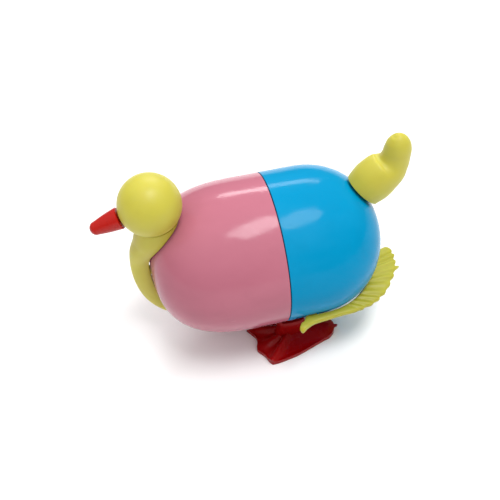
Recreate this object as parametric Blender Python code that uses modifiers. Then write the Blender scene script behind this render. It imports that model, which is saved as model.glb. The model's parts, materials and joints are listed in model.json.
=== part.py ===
"""Wind-up walking duck: a two-part plastic capsule body with head, tail, wings and webbed feet,
and a spring motor whose cranks rock two leg levers.

All lengths below are in millimetres and become metres in the helper functions. +X is the duck's
front, +Y its left side, +Z up. While the pieces are modelled, x = 0 is the seam between the body
halves, y = 0 the middle plane and z = 0 the ground. At the end the whole duck is shifted so that the
middle of its bounding box's floor lies at the origin.
"""
import bpy
import bmesh
import math
from mathutils import Matrix, Vector

MM = 0.001
GAP = 0.3                      # clearance between neighbouring pieces

# body capsule, turned about a horizontal axis
AXIS_Z = 35.0                  # height of the body's axis over the ground
BODY_R = 26.0
WALL = 1.6
FRONT_STRAIGHT, FRONT_CAP, FRONT_POWER = 8.8, 32.6, 2.62
REAR_STRAIGHT, REAR_CAP, REAR_POWER = 11.6, 26.1, 2.12
SEAM_GAP = 0.3
LIP_LENGTH, LIP_WALL = 3.2, 1.3

# head, neck and beak, in the middle plane
HEAD = (37.1, 0.0, AXIS_Z + 29.8)
HEAD_R = 9.8
HEAD_TILT = math.radians(7.0)            # the head's turning axis leans forward by this much
SEAT_R = 6.4                             # flat under the head, where it meets the neck
HEAD_SEAT = math.sqrt(HEAD_R ** 2 - SEAT_R ** 2)
BEAK_PITCH = math.radians(17.0)          # the beak points this far below level
BEAK_LENGTH, BEAK_BASE_R, BEAK_TIP_R = 10.0, 3.5, 2.15
BEAK_PEG_R, BEAK_PEG_LENGTH = 1.6, 3.7
NECK_PEG_R, NECK_PEG_LENGTH = 2.6, 9.0
SHELL_PEG_R = 1.6
SHELL_PEGS = ((AXIS_Z + 1.0, 43.0), (AXIS_Z - 13.0, 41.6))     # height of each and how far forward it reaches
NECK_CLEAR = 0.35
NECK_NARROW = 0.55                       # the stalk's width over its depth, below the flare under the head
NECK_FLARE_Z = (AXIS_Z + 4.0, AXIS_Z + 18.0)

# tail
TAIL_SEAT = (-31.0, AXIS_Z + 18.2)       # where the tail's peg meets the shell
TAIL_LEAN = math.radians(47.0)           # the peg's angle above level, pointing back
TAIL_PEG_R = 2.2
TAIL_WALL = 1.3
TAIL_WIDTH = 0.92                        # the tail's width over its height

# wings: flat crescents that lie round the rear of the body, each on a pin inside it
WING_Z, WING_THICK = AXIS_Z - 12.0, 2.2
WING_LOW, WING_HIGH = WING_Z - WING_THICK / 2, WING_Z + WING_THICK / 2
WING_PIVOT = (-8.0, 19.5)
WING_PIN_R, WING_EYE_R = 0.8, 2.2
WING_SLOT_X = (-10.6, -2.4)
WING_CLEAR = 0.35                        # between a blade and the shell
WING_REAR_Y = 1.15                       # how near a blade's rear end comes to the middle plane

# legs and feet
LEG_PIVOT = (-4.0, AXIS_Z - 8.0)
LEG_Y = (11.6, 14.2)
LEG_BOTTOM_Z = 4.2
LEG_HALF_WIDTH = 3.0
LEG_ROD_R, LEG_BORE_R = 1.2, 1.35
FOOT_THICK = 2.4

# motor frame and gear train: centres in the x-z plane
MODULE = 0.6
BACKLASH = 0.06
CRANK = (-4.0, AXIS_Z + 3.0)
ARBOR = (13.0, AXIS_Z - 5.0)
ARBOR_R = 1.45
GREAT_TEETH, PINION_TEETH, WHEEL_TEETH = 36, 10, 30
CRANK_WHEEL_TEETH, GOVERNOR_TEETH = 24, 8
GOVERNOR_LEAN = math.radians(162.0)      # direction from the crank shaft to the governor
CRANK_R, CRANK_PIN_R = 1.5, 0.8
PLATE_Y = (8.0, 9.2)
PLATE_X = (-20.0, 22.0)
PLATE_Z = (AXIS_Z - 16.0, AXIS_Z + 13.0)
PILLARS = ((-17.0, AXIS_Z - 12.0), (-17.4, AXIS_Z + 10.4), (1.0, AXIS_Z - 13.7), (19.5, AXIS_Z + 9.5))
CLICK = (ARBOR[0] + 7.6, ARBOR[1] - 1.0)
CLICK_TIP = (ARBOR[0] + 4.75, ARBOR[1] + 0.9)
CLICK_Y = (0.1, 1.1)
KNOB_REACH = 35.5                        # how far the knob stands out from the middle plane


def clear_scene():
    for obj in list(bpy.data.objects):
        bpy.data.objects.remove(obj, do_unlink=True)


def new_collection(name):
    collection = bpy.data.collections.new(name)
    bpy.context.scene.collection.children.link(collection)
    return collection


clear_scene()
PARTS = new_collection("wind_up_duck")
MATERIALS = {}


def material(name, color, roughness, metallic=0.0):
    mat = bpy.data.materials.new(name)
    mat.use_nodes = True
    shader = mat.node_tree.nodes["Principled BSDF"]
    shader.inputs["Base Color"].default_value = (*color, 1.0)
    shader.inputs["Roughness"].default_value = roughness
    shader.inputs["Metallic"].default_value = metallic
    mat.diffuse_color = (*color, 1.0)
    MATERIALS[name] = mat


def make_materials():
    material("pink_plastic", (0.70, 0.17, 0.24), 0.28)
    material("blue_plastic", (0.02, 0.36, 0.66), 0.25)
    material("yellow_plastic", (0.72, 0.66, 0.10), 0.42)
    material("red_plastic", (0.52, 0.015, 0.012), 0.35)
    material("white_plastic", (0.75, 0.74, 0.70), 0.4)
    material("steel", (0.55, 0.56, 0.58), 0.35, 1.0)
    material("spring_steel", (0.22, 0.25, 0.32), 0.3, 1.0)
    material("brass", (0.78, 0.57, 0.22), 0.3, 1.0)


# ---------------------------------------------------------------- helpers

def finish(obj, mat):
    """Put a finished piece into the parts' collection, with its own copy of a material."""
    for holder in list(obj.users_collection):
        holder.objects.unlink(obj)
    PARTS.objects.link(obj)
    own = MATERIALS[mat].copy()
    own.name = obj.name
    obj.data.materials.clear()
    obj.data.materials.append(own)
    obj.data.shade_smooth()
    obj.data.set_sharp_from_angle(angle=math.radians(40))


def from_bmesh(name, bm):
    """A mesh object whose faces all point out."""
    bmesh.ops.recalc_face_normals(bm, faces=bm.faces)
    if bm.calc_volume(signed=True) < 0:
        bmesh.ops.reverse_faces(bm, faces=bm.faces)
    mesh = bpy.data.meshes.new(name)
    bm.to_mesh(mesh)
    bm.free()
    obj = bpy.data.objects.new(name, mesh)
    bpy.context.scene.collection.objects.link(obj)
    return obj


def flatten(obj):
    """Replace an object by the plain mesh of its evaluated shape, in world space."""
    bpy.context.view_layer.update()
    evaluated = obj.evaluated_get(bpy.context.evaluated_depsgraph_get())
    mesh = bpy.data.meshes.new_from_object(evaluated)
    mesh.transform(obj.matrix_world)
    name = obj.name
    bpy.data.objects.remove(obj, do_unlink=True)
    bm = bmesh.new()
    bm.from_mesh(mesh)
    bmesh.ops.remove_doubles(bm, verts=bm.verts, dist=1e-6)
    bm.to_mesh(mesh)
    bm.free()
    plain = bpy.data.objects.new(name, mesh)
    bpy.context.scene.collection.objects.link(plain)
    return plain


def combine(obj, other, operation):
    """Apply a Boolean with another piece, which is used up."""
    boolean = obj.modifiers.new(operation.lower(), "BOOLEAN")
    boolean.operation = operation
    boolean.solver = "EXACT"
    boolean.object = other
    result = flatten(obj)
    bpy.data.objects.remove(other, do_unlink=True)
    return result


def cut(obj, *cutters):
    for cutter in cutters:
        obj = combine(obj, cutter, "DIFFERENCE")
    return obj


def join(obj, *others):
    for other in others:
        obj = combine(obj, other, "UNION")
    return obj


def rod(name, start, end, radius, end_radius=None, segments=24):
    """A round bar or cone between two points."""
    start, end = Vector(start) * MM, Vector(end) * MM
    axis = end - start
    bm = bmesh.new()
    bmesh.ops.create_cone(bm, cap_ends=True, segments=segments, radius1=radius * MM,
                          radius2=(radius if end_radius is None else end_radius) * MM, depth=axis.length)
    turn = Vector((0, 0, 1)).rotation_difference(axis).to_matrix().to_4x4()
    bm.transform(Matrix.Translation((start + end) / 2) @ turn)
    return from_bmesh(name, bm)


def y_rod(name, centre, y_from, y_to, radius, segments=24):
    """A round bar along Y whose centre is given in the x-z plane."""
    return rod(name, (centre[0], y_from, centre[1]), (centre[0], y_to, centre[1]), radius, None, segments)


def z_rod(name, centre, z_from, z_to, radius, segments=20):
    """A round bar along Z whose centre is given in the x-y plane."""
    return rod(name, (*centre, z_from), (*centre, z_to), radius, None, segments)


def box(name, low, high):
    low, high = Vector(low) * MM, Vector(high) * MM
    bm = bmesh.new()
    bmesh.ops.create_cube(bm, size=1.0)
    bm.transform(Matrix.Translation((low + high) / 2) @ Matrix.Diagonal((*(high - low), 1.0)))
    return from_bmesh(name, bm)


def plate(name, outline, low, high, axis="Y"):
    """A flat outline made into a plate. Along Y the outline holds (x, z), along Z it holds (x, y)."""
    bm = bmesh.new()
    if axis == "Y":
        ring = [bm.verts.new(Vector((x, low, z)) * MM) for x, z in outline]
        shift = Vector((0, high - low, 0)) * MM
    else:
        ring = [bm.verts.new(Vector((x, y, low)) * MM) for x, y in outline]
        shift = Vector((0, 0, high - low)) * MM
    face = bm.faces.new(ring)
    top = bmesh.ops.extrude_face_region(bm, geom=[face])
    bmesh.ops.translate(bm, vec=shift, verts=[v for v in top["geom"] if isinstance(v, bmesh.types.BMVert)])
    return from_bmesh(name, bm)


def turned(name, profile, segments=40):
    """A solid of revolution about local Z from (radius, height) points, outer side first."""
    bm = bmesh.new()
    verts = [bm.verts.new(Vector((r, 0, h)) * MM) for r, h in profile]
    for a, b in zip(verts, verts[1:]):
        bm.edges.new((a, b))
    mesh = bpy.data.meshes.new(name)
    bm.to_mesh(mesh)
    bm.free()
    obj = bpy.data.objects.new(name, mesh)
    bpy.context.scene.collection.objects.link(obj)
    screw = obj.modifiers.new("turn", "SCREW")
    screw.steps = screw.render_steps = segments
    screw.use_merge_vertices = True
    screw.merge_threshold = 1e-5
    return obj


def along_x(obj, forward=True):
    """Turn a piece made about Z so that its axis is the body's axis."""
    obj.rotation_euler = (0, math.radians(90 if forward else -90), 0)
    obj.location = (0, 0, AXIS_Z * MM)
    return flatten(obj)


def sweep(name, path, resolution=4, width=1.0):
    """A round bar along (x, y, z, radius) points; width scales it across the middle plane."""
    curve = bpy.data.curves.new(name, "CURVE")
    curve.dimensions = "3D"
    curve.bevel_depth = MM
    curve.bevel_resolution = resolution
    curve.render_resolution_u = 0
    curve.use_fill_caps = True
    spline = curve.splines.new("POLY")
    spline.points.add(len(path) - 1)
    for point, (x, y, z, radius) in zip(spline.points, path):
        point.co = (x * MM, y * MM / width, z * MM, 1.0)
        point.radius = radius
    obj = bpy.data.objects.new(name, curve)
    obj.scale = (1.0, width, 1.0)
    bpy.context.scene.collection.objects.link(obj)
    return flatten(obj)


def ease(value, low, high):
    """0 below low, 1 above high, and a smooth step in between."""
    t = min(1.0, max(0.0, (value - low) / (high - low)))
    return t * t * (3 - 2 * t)


def smooth_path(keys, count):
    """Points spread evenly in parameter along a Catmull-Rom curve through the keys."""
    padded = [keys[0], *keys, keys[-1]]
    path = []
    for i in range(count):
        s = i / (count - 1) * (len(keys) - 1)
        k = min(int(s), len(keys) - 2)
        t = s - k
        p0, p1, p2, p3 = padded[k:k + 4]
        path.append(tuple(0.5 * (2 * b + (c - a) * t + (2 * a - 5 * b + 4 * c - d) * t * t
                                 + (3 * b - a - 3 * c + d) * t ** 3)
                          for a, b, c, d in zip(p0, p1, p2, p3)))
    return path


def mirrored(obj, name):
    """The same piece on the duck's right side."""
    mesh = obj.data.copy()
    mesh.transform(Matrix.Diagonal((1, -1, 1, 1)))
    mesh.flip_normals()
    copy = bpy.data.objects.new(name, mesh)
    bpy.context.scene.collection.objects.link(copy)
    return copy


def link_outline(circles, steps=28):
    """The convex outline round a few (x, z, radius) circles, for levers and links."""
    points = sorted({(round(x + r * math.cos(a), 6), round(z + r * math.sin(a), 6))
                     for x, z, r in circles
                     for a in (2 * math.pi * i / steps for i in range(steps))})

    def half(ordered):
        chain = []
        for p in ordered:
            while len(chain) > 1 and ((chain[-1][0] - chain[-2][0]) * (p[1] - chain[-2][1])
                                      - (chain[-1][1] - chain[-2][1]) * (p[0] - chain[-2][0])) <= 1e-9:
                chain.pop()
            chain.append(p)
        return chain[:-1]

    return half(points) + half(points[::-1])


def gear_outline(centre, teeth, phase):
    """Straight-sided teeth in the x-z plane; phase is the angle of one tooth's middle."""
    pitch_r = MODULE * teeth / 2
    tip, root = pitch_r + 0.75 * MODULE, pitch_r - 1.1 * MODULE
    step = 2 * math.pi / teeth
    corners = ((root, -0.27), (tip, -0.13), (tip, 0.13), (root, 0.27))
    return [(centre[0] + r * math.cos(phase + (i + part) * step),
             centre[1] + r * math.sin(phase + (i + part) * step))
            for i in range(teeth) for r, part in corners]


def gear(name, centre, teeth, y_from, y_to, phase, bore=0.0):
    blank = plate(name, gear_outline(centre, teeth, phase), y_from, y_to)
    if bore:
        blank = cut(blank, y_rod("bore", centre, y_from - 1, y_to + 1, bore, 20))
    return blank


def direction(a, b):
    return math.atan2(b[1] - a[1], b[0] - a[0])


# ---------------------------------------------------------------- body

def cap_radius(distance, straight, cap, power, offset=0.0):
    """Radius of a body half at a distance from the seam, or of its wall's inner side with offset."""
    t = max(0.0, distance - straight) / (cap - offset)
    return (BODY_R - offset) * max(0.0, 1.0 - t ** power) ** (1.0 / power)


def body_radius(x):
    if x >= 0:
        return cap_radius(x, FRONT_STRAIGHT, FRONT_CAP, FRONT_POWER)
    return cap_radius(-x, REAR_STRAIGHT, REAR_CAP, REAR_POWER)


def cap_profile(straight, cap, power, offset, rings):
    """(radius, height) points from the pole to the end of the straight part."""
    points = []
    for i in range(rings + 1):
        angle = math.pi / 2 * i / rings
        radial = math.sin(angle) ** (2 / power)
        axial = math.cos(angle) ** (2 / power) if i < rings else 0.0
        points.append(((BODY_R - offset) * radial, straight + (cap - offset) * axial))
    return points


def shell(name, straight, cap, power, with_lip):
    outer = cap_profile(straight, cap, power, 0.0, 12)
    inner = cap_profile(straight, cap, power, WALL, 6)
    rim = SEAM_GAP / 2
    profile = outer + [(BODY_R, rim)]
    if with_lip:
        lip_r = BODY_R - WALL - GAP
        profile += [(lip_r, rim), (lip_r, -LIP_LENGTH), (lip_r - LIP_WALL, -LIP_LENGTH),
                    (lip_r - LIP_WALL, rim + 2.0), (BODY_R - WALL, rim + 3.4)]
    else:
        profile += [(BODY_R - WALL, rim)]
    profile += inner[::-1]
    return turned(name, profile)


def body_end(name, straight, cap, power, clearance, forward=True):
    """One end of the body made larger all round, to cut what lies against it."""
    points = [(r + clearance, h + clearance) for r, h in cap_profile(straight, cap, power, 0.0, 12)]
    points[0] = (0.0, points[0][1])
    points += [(BODY_R + clearance, 1.0), (0.0, 1.0)]
    return along_x(turned(name, points), forward)


def body_solid(x_from, x_to, offset):
    """A block of the body's inside, to trim what must follow the wall."""
    count = 12
    points = [(0.0, x_to)]
    for i in range(count + 1):
        x = x_to + (x_from - x_to) * i / count
        points.append((body_radius(x) - offset, x))
    points.append((0.0, x_from))
    return along_x(turned("inside", points))


def cradle(name, x_from, x_to):
    """Four L-shaped ribs that grip the corners of the motor frame."""
    ribs = None
    for side in (1, -1):
        for edge, sign in ((PLATE_Z[1], 1), (PLATE_Z[0], -1)):
            wall = AXIS_Z + sign * BODY_R
            y_in, y_mid, y_out = (side * y for y in (PLATE_Y[0], PLATE_Y[1] + GAP, PLATE_Y[1] + 1.9))
            z_finger = edge - sign * 3.0
            z_shelf = edge + sign * GAP
            finger = box("finger", (x_from, min(y_mid, y_out), min(z_finger, wall)),
                         (x_to, max(y_mid, y_out), max(z_finger, wall)))
            shelf = box("shelf", (x_from, min(y_in, y_out), min(z_shelf, wall)),
                        (x_to, max(y_in, y_out), max(z_shelf, wall)))
            rib = join(finger, shelf)
            ribs = rib if ribs is None else join(ribs, rib)
    trim = body_solid(x_from - 1, x_to + 1, WALL / 2)
    ribs.name = name
    return combine(ribs, trim, "INTERSECT")


def leg_slots():
    """Openings under the body for the two leg levers, running through to the seam."""
    reach = LEG_HALF_WIDTH + 2.6
    slots = []
    for side in (1, -1):
        y_a, y_b = side * (LEG_Y[0] - 0.9), side * (LEG_Y[1] + 0.9)
        slots.append(box("slot", (LEG_PIVOT[0] - reach, min(y_a, y_b), AXIS_Z - BODY_R - 1),
                         (LEG_PIVOT[0] + reach, max(y_a, y_b), AXIS_Z - 15)))
    return slots


def wing_mount(side):
    """A shelf inside the rear shell with the upright pin that a wing swings on."""
    x, y = WING_PIVOT
    top = WING_LOW - GAP
    y_a, y_b = sorted((side * (y - WING_EYE_R), side * (y + 1.4)))
    shelf = box("shelf", (x - 2.5, y_a, top - 1.6), (x + 2.5, y_b, top))
    return join(shelf, z_rod("pin", (x, side * y), top - 0.8, WING_HIGH - 0.4, WING_PIN_R, 16))


def wing_slot(side):
    """The opening in the rear shell's side that a wing's arm comes through."""
    y_a, y_b = sorted((side * (WING_PIVOT[1] - 3.0), side * (BODY_R + 2.0)))
    return box("slot", (WING_SLOT_X[0], y_a, WING_LOW - GAP), (WING_SLOT_X[1], y_b, WING_HIGH + GAP))


def rear_shell():
    obj = along_x(shell("rear_shell", REAR_STRAIGHT, REAR_CAP, REAR_POWER, False), False)
    obj = join(obj, cradle("rear_cradle", -17.5, -13.5))
    peg = rod("hole", tail_point(-8.0), tail_point(6.0), TAIL_PEG_R + 0.15)
    obj = cut(obj, peg, *leg_slots(), wing_slot(1), wing_slot(-1))
    finish(join(obj, wing_mount(1), wing_mount(-1)), "blue_plastic")


def front_shell():
    obj = along_x(shell("front_shell", FRONT_STRAIGHT, FRONT_CAP, FRONT_POWER, True))
    obj = join(obj, cradle("front_cradle", 16.5, 20.5))
    knob_hole = y_rod("hole", ARBOR, -BODY_R - 2, -BODY_R + 8, ARBOR_R + 0.75)
    pegs = [rod("hole", (30.0, 0, z), (44.0, 0, z), SHELL_PEG_R + 0.15) for z, reach in SHELL_PEGS]
    finish(cut(obj, knob_hole, *pegs, *leg_slots()), "pink_plastic")


# ---------------------------------------------------------------- head, neck, beak, tail

def head_point(distance):
    """A point on the head's turning axis, measured up from the head's centre."""
    return (HEAD[0] + distance * math.sin(HEAD_TILT), 0.0, HEAD[2] + distance * math.cos(HEAD_TILT))


def head():
    ball = []
    rings = 13
    cut_angle = math.pi - math.asin(SEAT_R / HEAD_R)
    for i in range(rings + 1):
        angle = cut_angle * i / rings
        ball.append((HEAD_R * math.sin(angle), HEAD_R * math.cos(angle)))
    socket_r, socket_top = NECK_PEG_R + 0.15, NECK_PEG_LENGTH + GAP - HEAD_SEAT
    ball += [(socket_r, -HEAD_SEAT), (socket_r, socket_top), (0.0, socket_top)]
    obj = turned("head", ball, 32)
    obj.rotation_euler = (0, HEAD_TILT, 0)
    obj.location = Vector(HEAD) * MM
    socket = rod("socket", beak_point(HEAD_R - BEAK_PEG_LENGTH - GAP), beak_point(HEAD_R + 4),
                 BEAK_PEG_R + 0.15)
    finish(cut(flatten(obj), socket), "yellow_plastic")


def beak_point(distance):
    """A point on the beak's axis, measured from the head's centre."""
    return (HEAD[0] + distance * math.cos(BEAK_PITCH), 0.0, HEAD[2] - distance * math.sin(BEAK_PITCH))


def beak():
    """A blunt cone with a peg that is pressed into the head."""
    base = HEAD_R + 0.1
    peg_end = HEAD_R - BEAK_PEG_LENGTH
    tip_from = base + BEAK_LENGTH - BEAK_TIP_R
    profile = [(0.0, base + BEAK_LENGTH)]
    rings = 5
    for i in range(1, rings + 1):
        angle = math.pi / 2 * i / rings
        profile.append((BEAK_TIP_R * math.sin(angle), tip_from + BEAK_TIP_R * math.cos(angle)))
    profile += [(BEAK_BASE_R, base), (BEAK_PEG_R, base), (BEAK_PEG_R, peg_end), (0.0, peg_end)]
    obj = turned("beak", profile, 24)
    obj.rotation_euler = (0, math.pi / 2 + BEAK_PITCH, 0)
    obj.location = Vector(HEAD) * MM
    finish(flatten(obj), "red_plastic")


def neck():
    """An arched stalk in front of the nose: wide under the head, narrow below and pointed at its end."""
    keys = [(35.2, 0, AXIS_Z + 25.0, 6.2),
            (36.1, 0, AXIS_Z + 20.9, 6.5),
            (37.5, 0, AXIS_Z + 17.2, 6.5),
            (39.3, 0, AXIS_Z + 13.6, 6.1),
            (41.8, 0, AXIS_Z + 10.0, 5.1),
            (43.25, 0, AXIS_Z + 5.7, 4.25),
            (43.75, 0, AXIS_Z + 1.0, 3.95),
            (43.55, 0, AXIS_Z - 4.9, 3.75),
            (42.8, 0, AXIS_Z - 10.6, 3.3),
            (41.2, 0, AXIS_Z - 15.7, 2.8),
            (39.3, 0, AXIS_Z - 20.7, 1.6),
            (37.9, 0, AXIS_Z - 22.9, 0.8)]
    obj = sweep("neck", smooth_path(keys, 24), 3)
    for vertex in obj.data.vertices:
        vertex.co.y *= NECK_NARROW + (1.0 - NECK_NARROW) * ease(vertex.co.z / MM, *NECK_FLARE_Z)
    above = rod("above", head_point(-HEAD_SEAT - GAP), head_point(0.0), 2.0 * HEAD_R)
    obj = cut(obj, above, body_end("nose", FRONT_STRAIGHT, FRONT_CAP, FRONT_POWER, NECK_CLEAR))
    head_peg = rod("peg", head_point(-HEAD_SEAT - 1.0), head_point(NECK_PEG_LENGTH - HEAD_SEAT), NECK_PEG_R)
    shell_pegs = [rod("peg", (33.0, 0, z), (reach, 0, z), SHELL_PEG_R) for z, reach in SHELL_PEGS]
    finish(join(obj, head_peg, *shell_pegs), "yellow_plastic")


def tail_point(distance):
    return (TAIL_SEAT[0] - distance * math.cos(TAIL_LEAN), 0.0, TAIL_SEAT[1] + distance * math.sin(TAIL_LEAN))


def tail():
    """A curled plume, hollow where it sits over the shell, with a peg into the shell."""
    keys = [(-31.4, 0, AXIS_Z + 18.7, 6.7),
            (-34.1, 0, AXIS_Z + 21.5, 7.4),
            (-36.8, 0, AXIS_Z + 24.2, 7.2),
            (-39.3, 0, AXIS_Z + 26.3, 6.4),
            (-40.7, 0, AXIS_Z + 28.6, 5.2),
            (-41.3, 0, AXIS_Z + 31.4, 4.6),
            (-41.4, 0, AXIS_Z + 34.0, 4.4),
            (-41.0, 0, AXIS_Z + 36.6, 3.5),
            (-40.6, 0, AXIS_Z + 38.3, 1.9),
            (-40.4, 0, AXIS_Z + 38.9, 0.5)]
    outer = sweep("tail", smooth_path(keys, 22), 4, TAIL_WIDTH)
    inner_keys = [(x, y, z, r - TAIL_WALL) for x, y, z, r in keys[:4]]
    x, y, z, r = inner_keys[0]
    inner_keys.insert(0, (x + 3.4, y, z - 3.6, r))
    hollow = sweep("hollow", smooth_path(inner_keys, 12), 4, TAIL_WIDTH)
    peg = rod("peg", tail_point(-3.4), tail_point(13.5), TAIL_PEG_R)
    finish(join(cut(outer, hollow), peg), "yellow_plastic")


# ---------------------------------------------------------------- wings and feet

def wing_inner_edge():
    """Points just inside the rear body's outline at the blade's underside, from front to rear."""
    level = WING_LOW - AXIS_Z
    start, end, count = -6.3, -34.0, 12
    points = []
    for i in range(count):
        x = start + (end - start) * math.sin(math.pi / 2 * i / (count - 1))
        half_width = math.sqrt(max(0.0, body_radius(x) ** 2 - level ** 2))
        points.append((x, max(WING_REAR_Y, half_width - 0.6)))
    return points


def wing_outline():
    """Crescent round the rear of the body: a plain hook in front, a scalloped edge behind."""
    keys = [(-3.5, 28.8), (-5.5, 27.6), (-8.2, 26.5), (-12.3, 26.1), (-17.2, 25.6), (-22.0, 25.4),
            (-25.8, 24.8), (-29.8, 23.6), (-33.2, 21.9), (-36.2, 19.5), (-39.0, 16.3), (-41.8, 12.7),
            (-43.5, 9.3), (-44.5, 5.6), (-44.4, 3.1)]
    path = smooth_path(keys, 74)
    outer = []
    for i, (x, y) in enumerate(path):
        scallop = 0.45 * abs(math.sin(math.pi * i / 5)) if 25 < i < 65 else 0.0
        ahead = path[min(i + 1, len(path) - 1)]
        back = path[max(i - 1, 0)]
        run = Vector((ahead[0] - back[0], ahead[1] - back[1])).normalized()
        outer.append((x + scallop * run[1], y - scallop * run[0]))
    end = [(-43.8, 1.8), (-42.6, WING_REAR_Y)]
    shoulder = [(-5.0, 24.9), (-3.8, 25.7), (-2.9, 27.0), (-2.9, 28.2)]
    return outer + end + wing_inner_edge()[::-1] + shoulder


def wing():
    """The blade, its arm through the shell's slot, and the eye on the hidden pin."""
    x, y = WING_PIVOT
    blade = plate("left_wing", wing_outline(), WING_LOW, WING_HIGH, "Z")
    blade = cut(blade, body_end("body", REAR_STRAIGHT, REAR_CAP, REAR_POWER, WING_CLEAR, False))
    arm = box("arm", (x - 1.6, y, WING_LOW + 0.2), (x + 1.6, y + 5.4, WING_HIGH - 0.2))
    eye = z_rod("eye", WING_PIVOT, WING_LOW + 0.1, WING_HIGH - 0.1, WING_EYE_R)
    bore = z_rod("bore", WING_PIVOT, WING_LOW - 1, WING_HIGH + 1, WING_PIN_R + 0.15, 16)
    return cut(join(blade, arm, eye), bore)


def wings():
    """Both wings: the left one with a moulding spur, the right one with a rounder rear corner."""
    left = wing()
    right = mirrored(left, "right_wing")
    spur = plate("spur", [(-42.6, 12.0), (-44.3, 11.2), (-44.3, 10.8), (-42.6, 10.6)],
                 WING_Z - 0.5, WING_Z + 0.5, "Z")
    corner = plate("corner", [(-46.0, -9.5), (-44.2, -7.4), (-43.8, -5.6), (-42.9, -4.0), (-40.9, -1.0),
                              (-46.0, -1.0)], WING_LOW - 1.0, WING_HIGH + 1.0, "Z")
    finish(join(left, spur), "yellow_plastic")
    finish(cut(right, corner), "yellow_plastic")


def foot_outline():
    """The webbed foot from above: three toes, a swelling outer side, and a heel with a moulding spur."""
    front = [(12.0, 8.6), (9.6, 12.4), (9.4, 14.8), (10.2, 18.0), (8.3, 20.8), (6.6, 24.4)]
    outer = [(5.0, 24.9), (1.0, 24.5), (-4.0, 23.5), (-9.0, 21.9), (-14.0, 20.2)]
    heel = [(-17.2, 19.2), (-19.2, 17.4), (-19.8, 15.7), (-21.4, 15.3), (-21.4, 14.9), (-19.9, 14.5),
            (-19.4, 12.9), (-17.6, 11.6)]
    inner = [(-12.0, 10.9), (-5.0, 9.9), (2.0, 8.9), (8.0, 8.1), (11.0, 7.9)]
    return front + outer + heel + inner


def foot():
    sole = plate("left_foot", foot_outline(), 0.0, FOOT_THICK, "Z")
    x = LEG_PIVOT[0]
    y_mid = sum(LEG_Y) / 2
    half_y = (LEG_Y[1] - LEG_Y[0]) / 2 + 1.4
    shank = plate("shank", [(x - 6.0, 1.0), (x + 6.6, 1.0), (x + 4.6, 9.6), (x - 4.6, 9.6)],
                  y_mid - half_y, y_mid + half_y)
    socket = box("socket", (x - LEG_HALF_WIDTH - 0.15, LEG_Y[0] - 0.15, LEG_BOTTOM_Z - GAP),
                 (x + LEG_HALF_WIDTH + 0.15, LEG_Y[1] + 0.15, 12.0))
    return cut(join(sole, shank), socket)


def leg():
    """The lever from the crank's window down past its pivot to the foot's socket."""
    x, z = LEG_PIVOT
    upper = plate("left_leg", link_outline([(CRANK[0], CRANK[1], 6.2), (x, z, 4.2)]), *LEG_Y)
    lower = plate("lower", [(x - LEG_HALF_WIDTH, LEG_BOTTOM_Z), (x + LEG_HALF_WIDTH, LEG_BOTTOM_Z),
                            (x + LEG_HALF_WIDTH, z), (x - LEG_HALF_WIDTH, z)], *LEG_Y)
    obj = join(upper, lower)
    window = y_rod("window", CRANK, LEG_Y[0] - 1, LEG_Y[1] + 1, CRANK_R + CRANK_PIN_R + 2.1, 28)
    bore = y_rod("bore", LEG_PIVOT, LEG_Y[0] - 1, LEG_Y[1] + 1, LEG_BORE_R)
    return cut(obj, window, bore)


def paired(make, color):
    left = make()
    right = mirrored(left, left.name.replace("left", "right"))
    finish(left, color)
    finish(right, color)


# ---------------------------------------------------------------- motor

def side_plates():
    outline = link_outline([(PLATE_X[0] + 2, PLATE_Z[0] + 2, 2), (PLATE_X[1] - 2, PLATE_Z[0] + 2, 2),
                            (PLATE_X[1] - 2, PLATE_Z[1] - 2, 2), (PLATE_X[0] + 2, PLATE_Z[1] - 2, 2)], 16)
    for name, side in (("left_side_plate", 1), ("right_side_plate", -1)):
        y_a, y_b = sorted((side * PLATE_Y[0], side * PLATE_Y[1]))
        obj = plate(name, outline, y_a, y_b)
        bores = [(ARBOR, ARBOR_R + 0.15), (CRANK, 1.1), (INTERMEDIATE, 0.9), (GOVERNOR, 0.8),
                 (LEG_PIVOT, LEG_BORE_R)]
        bores += [(pillar, 1.0) for pillar in PILLARS]
        obj = cut(obj, *(y_rod("bore", centre, y_a - 1, y_b + 1, r, 12) for centre, r in bores))
        finish(obj, "steel")


def pillars():
    """Shouldered posts; their riveted ends pass through the side plates."""
    for i, centre in enumerate(PILLARS):
        post = y_rod(f"frame_pillar_{i + 1}", centre, -PLATE_Y[0] + 0.05, PLATE_Y[0] - 0.05, 1.5, 16)
        ends = y_rod("rivet", centre, -PLATE_Y[1] - 0.1, PLATE_Y[1] + 0.1, 0.85, 16)
        finish(join(post, ends), "steel")


def arms(a, b, from_a, from_b):
    """The point at given distances from two centres, on the upper side of the line between them."""
    span = math.hypot(b[0] - a[0], b[1] - a[1])
    ux, uz = (b[0] - a[0]) / span, (b[1] - a[1]) / span
    along = (span ** 2 + from_a ** 2 - from_b ** 2) / (2 * span)
    across = math.sqrt(from_a ** 2 - along ** 2)
    return (a[0] + along * ux - across * uz, a[1] + along * uz + across * ux)


def centre_distance(teeth, other_teeth):
    return MODULE * (teeth + other_teeth) / 2 + BACKLASH


def toward(centre, angle, distance):
    return (centre[0] + distance * math.cos(angle), centre[1] + distance * math.sin(angle))


INTERMEDIATE = arms(CRANK, ARBOR, centre_distance(WHEEL_TEETH, PINION_TEETH),
                    centre_distance(GREAT_TEETH, PINION_TEETH))
GOVERNOR = toward(CRANK, GOVERNOR_LEAN, centre_distance(CRANK_WHEEL_TEETH, GOVERNOR_TEETH))


def gap_phase(angle, teeth):
    """Phase of a follower that puts a gap, not a tooth, in the direction of its driver."""
    return angle + math.pi / teeth


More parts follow.
